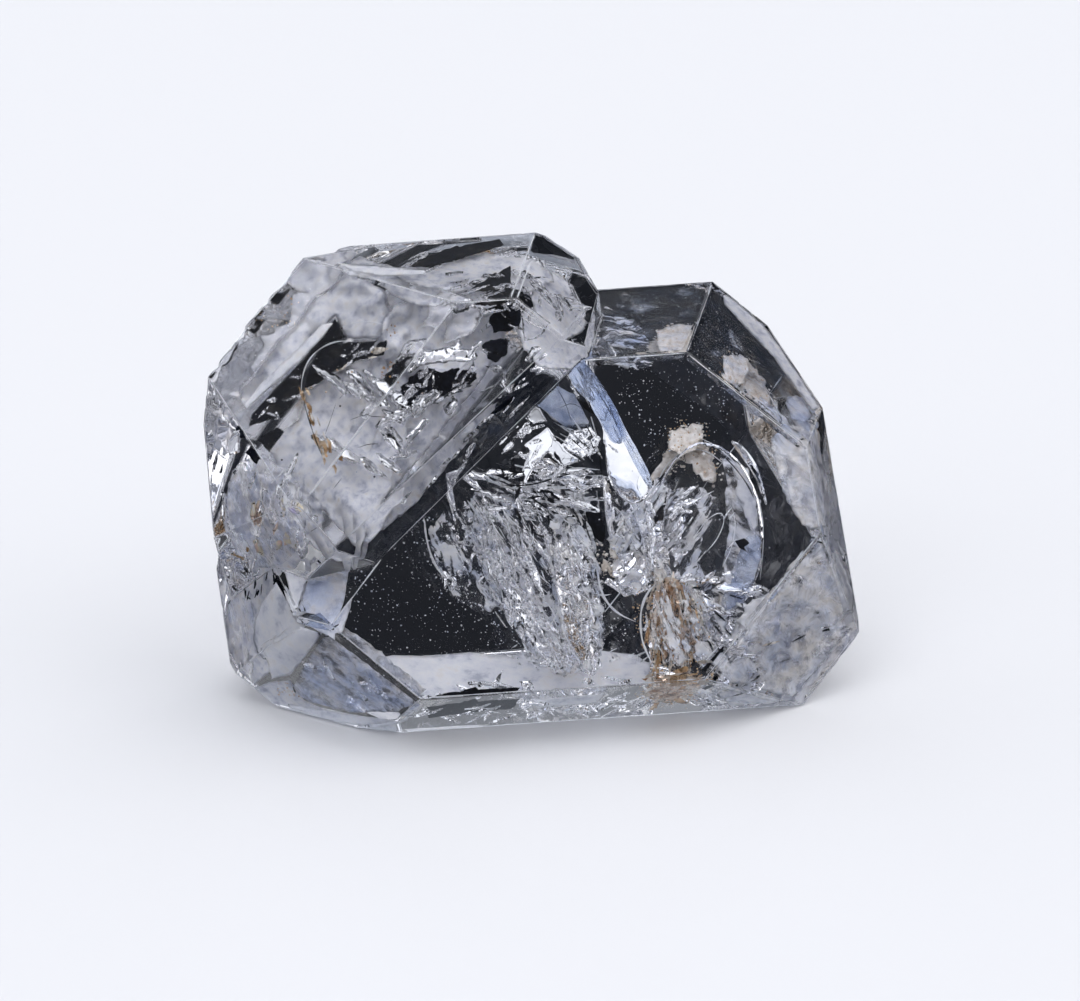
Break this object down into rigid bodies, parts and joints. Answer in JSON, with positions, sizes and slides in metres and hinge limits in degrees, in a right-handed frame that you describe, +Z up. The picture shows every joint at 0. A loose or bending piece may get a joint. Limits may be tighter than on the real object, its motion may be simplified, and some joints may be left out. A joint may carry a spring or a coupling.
{
  "type": "herkimer diamond quartz crystal specimen",
  "caption": "Clear doubly terminated quartz: a large stubby crystal with a second one grown into it in near-parallel position, resting on one natural face.",
  "frame": {"origin": "on the plane it rests on, under the middle of the bounding box", "axes": "+Z up, +X along the long side of the specimen, -Y towards its front"},
  "size_m": [0.0266, 0.0168, 0.018],
  "materials": {
    "quartz": "natural water-clear quartz faces with growth marks, inner cracks, veils and tan clay stains"
  },
  "bodies": {
    "root": {"herkimer_quartz": "quartz"}
  },
  "joints": []
}
